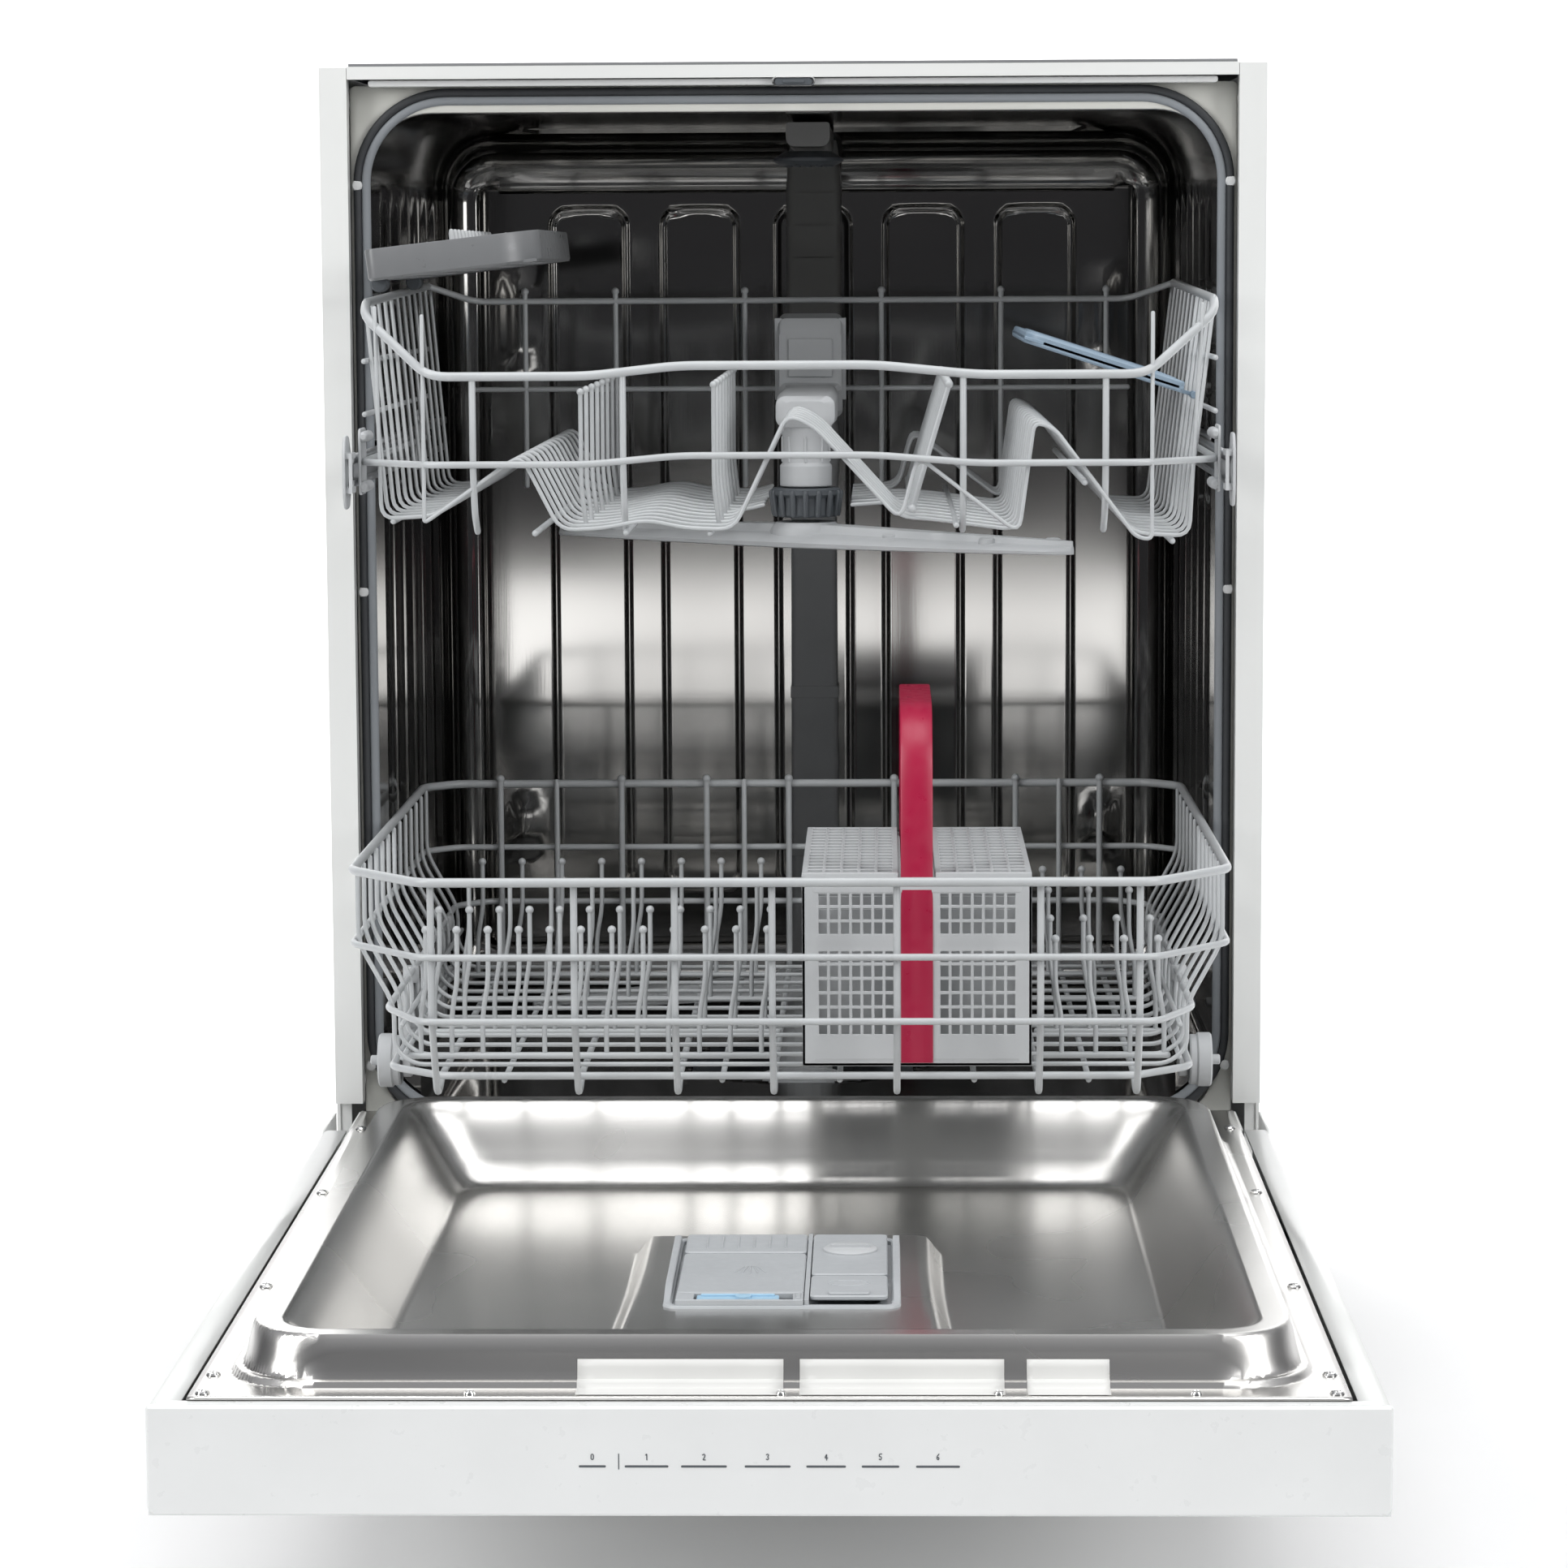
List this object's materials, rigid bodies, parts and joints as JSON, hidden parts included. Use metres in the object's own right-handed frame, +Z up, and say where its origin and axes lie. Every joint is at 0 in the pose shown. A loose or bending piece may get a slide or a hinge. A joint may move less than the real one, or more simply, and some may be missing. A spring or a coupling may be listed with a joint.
{
  "type": "built in dishwasher",
  "caption": "Built-in dishwasher with a drop-down door, stainless tub, two pull-out wire racks, cutlery basket and rotating spray arms.",
  "frame": {"origin": "bottom centre of the whole object's box, on the floor", "axes": "+Z up; -Y towards the user, where the open door points; +X to the user's right"},
  "size_m": [0.598, 1.325, 0.87],
  "materials": {
    "white_enamel": "smooth white enamel",
    "white_fascia": "white moulded fascia",
    "stainless": "polished stainless sheet",
    "zinc_steel": "zinc plated steel",
    "rubber": "matt rubber seal",
    "grey_wire": "light grey nylon coated wire",
    "grey_plastic": "light grey moulded plastic",
    "dark_plastic": "dark grey moulded plastic",
    "black_plastic": "black moulded plastic",
    "blue_plastic": "blue grey moulded plastic",
    "crimson_plastic": "crimson moulded plastic",
    "cast_weight": "dark cast block"
  },
  "bodies": {
    "cabinet": {"tub": "stainless", "tub_gasket": "rubber", "side_panel_left": "white_enamel", "side_panel_right": "white_enamel", "top_crossbar": "white_enamel", "top_trim_strip": "white_enamel", "latch_striker": "dark_plastic", "top_sheet": "zinc_steel", "back_sheet": "zinc_steel", "base_tray": "black_plastic", "rear_counterweight": "cast_weight", "toe_kick": "black_plastic", "front_foot_left": "black_plastic", "front_foot_right": "black_plastic", "rear_foot_left": "black_plastic", "rear_foot_right": "black_plastic", "sump": "dark_plastic", "wash_pump": "dark_plastic", "drain_pump": "dark_plastic", "hinge_bracket_left": "zinc_steel", "hinge_bracket_right": "zinc_steel", "water_duct": "grey_plastic", "ceiling_spray_head": "dark_plastic", "tub_rail_left": "zinc_steel", "tub_rail_right": "zinc_steel", "filter_screen": "stainless", "lower_arm_hub": "grey_plastic"},
    "filter": {"filter_cup": "grey_plastic"},
    "lower_arm": {"lower_spray_arm": "grey_plastic"},
    "door": {"door_outer_panel": "white_enamel", "door_liner": "stainless", "hinge_arm_left": "zinc_steel", "hinge_arm_right": "zinc_steel", "control_fascia": "white_fascia", "display_window": "black_plastic", "dispenser_body": "grey_plastic"},
    "power_button": {"power_key": "grey_plastic"},
    "start_button": {"start_key": "grey_plastic"},
    "detergent_cover": {"detergent_lid": "grey_plastic"},
    "rinse_aid_cover": {"rinse_aid_lid": "grey_plastic"},
    "detergent_slider": {"detergent_latch": "blue_plastic"},
    "lower_rack": {"lower_rack_frame": "grey_wire"},
    "wheel_front_left": {"lower_wheel_front_left": "grey_plastic"},
    "wheel_front_right": {"lower_wheel_front_right": "grey_plastic"},
    "wheel_rear_left": {"lower_wheel_rear_left": "grey_plastic"},
    "wheel_rear_right": {"lower_wheel_rear_right": "grey_plastic"},
    "basket": {"basket_body": "grey_plastic", "basket_handle": "crimson_plastic"},
    "basket_cover_left": {"basket_lid_left": "grey_plastic"},
    "basket_cover_right": {"basket_lid_right": "grey_plastic"},
    "upper_rails": {"slide_rail_left": "zinc_steel", "slide_rail_right": "zinc_steel"},
    "upper_rack": {"upper_rack_frame": "grey_wire", "feed_manifold": "grey_plastic", "spray_arm_nut": "dark_plastic"},
    "upper_arm": {"upper_spray_arm": "grey_plastic"},
    "cup_tray_flap": {"cup_tray": "dark_plastic"},
    "cup_shelf_flap": {"cup_shelf": "blue_plastic"},
    "tine_row": {"folding_tines": "grey_wire"}
  },
  "joints": [
    {"name": "door_hinge", "type": "hinge", "parent": "cabinet", "child": "door", "pos_m": [0, 0.0445, 0.158], "axis": [1, 0, 0], "range_deg": [-90, 0]},
    {"name": "lower_rack_slide", "type": "slide", "parent": "cabinet", "child": "lower_rack", "axis": [0, 1, 0], "range_m": [0, 0.2621]},
    {"name": "upper_rails_slide", "type": "slide", "parent": "cabinet", "child": "upper_rails", "axis": [0, 1, 0], "range_m": [0, 0.1981]},
    {"name": "upper_rack_slide", "type": "slide", "parent": "upper_rails", "child": "upper_rack", "axis": [0, 1, 0], "range_m": [0, 0.198]},
    {"name": "lower_arm_spin", "type": "hinge", "parent": "cabinet", "child": "lower_arm", "pos_m": [0, 0.3605, 0.242], "axis": [0, 0, 1], "continuous": true},
    {"name": "upper_arm_spin", "type": "hinge", "parent": "upper_rack", "child": "upper_arm", "pos_m": [0.007, 0.1365, 0.571], "axis": [0, 0, 1], "continuous": true},
    {"name": "filter_twist", "type": "hinge", "parent": "cabinet", "child": "filter", "pos_m": [0, 0.3065, 0.15], "axis": [0, 0, 1], "range_deg": [0, 45]},
    {"name": "cup_tray_fold", "type": "hinge", "parent": "upper_rack", "child": "cup_tray_flap", "pos_m": [-0.252, 0.0905, 0.736], "axis": [0, -1, 0], "range_deg": [-6.5, 45]},
    {"name": "cup_shelf_fold", "type": "hinge", "parent": "upper_rack", "child": "cup_shelf_flap", "pos_m": [0.247, 0.0905, 0.664], "axis": [0, 1, 0], "range_deg": [-18, 45]},
    {"name": "tine_row_fold", "type": "hinge", "parent": "upper_rack", "child": "tine_row", "pos_m": [0.074, 0.0925, 0.599], "axis": [0, 1, 0], "range_deg": [0, 60]},
    {"name": "detergent_lid_hinge", "type": "hinge", "parent": "door", "child": "detergent_cover", "pos_m": [-0.021, -0.3135, 0.1963], "axis": [-1, 0, 0], "range_deg": [0, 90]},
    {"name": "rinse_aid_lid_hinge", "type": "hinge", "parent": "door", "child": "rinse_aid_cover", "pos_m": [0.037, -0.3675, 0.1963], "axis": [-1, 0, 0], "range_deg": [0, 90]},
    {"name": "detergent_latch_slide", "type": "slide", "parent": "door", "child": "detergent_slider", "axis": [1, 0, 0], "range_m": [0, 0.006]},
    {"name": "power_key_press", "type": "slide", "parent": "door", "child": "power_button", "axis": [0, 0, 1], "range_m": [0, 0.0015], "stiffness_N_per_m": 400},
    {"name": "start_key_press", "type": "slide", "parent": "door", "child": "start_button", "axis": [0, 0, 1], "range_m": [0, 0.0015], "stiffness_N_per_m": 400},
    {"name": "basket_lift", "type": "slide", "parent": "lower_rack", "child": "basket", "axis": [0, 0, 1], "range_m": [0, 0.075]},
    {"name": "basket_lid_left_hinge", "type": "hinge", "parent": "basket", "child": "basket_cover_left", "pos_m": [0.065, -0.0245, 0.3873], "axis": [0, 1, 0], "range_deg": [0, 90]},
    {"name": "basket_lid_right_hinge", "type": "hinge", "parent": "basket", "child": "basket_cover_right", "pos_m": [0.087, -0.0245, 0.3873], "axis": [0, -1, 0], "range_deg": [0, 90]},
    {"name": "wheel_front_left_spin", "type": "hinge", "parent": "lower_rack", "child": "wheel_front_left", "pos_m": [-0.255, 0.0245, 0.247], "axis": [1, 0, 0], "continuous": true},
    {"name": "wheel_front_right_spin", "type": "hinge", "parent": "lower_rack", "child": "wheel_front_right", "pos_m": [0.255, 0.0245, 0.247], "axis": [1, 0, 0], "continuous": true},
    {"name": "wheel_rear_left_spin", "type": "hinge", "parent": "lower_rack", "child": "wheel_rear_left", "pos_m": [-0.255, 0.2425, 0.247], "axis": [1, 0, 0], "continuous": true},
    {"name": "wheel_rear_right_spin", "type": "hinge", "parent": "lower_rack", "child": "wheel_rear_right", "pos_m": [0.255, 0.2425, 0.247], "axis": [1, 0, 0], "continuous": true}
  ],
  "couplings": [
    {"joint": "lower_rack_slide", "follows": "door_hinge", "m_per_rad": -0.16679},
    {"joint": "upper_rails_slide", "follows": "door_hinge", "m_per_rad": -0.12605}
  ]
}
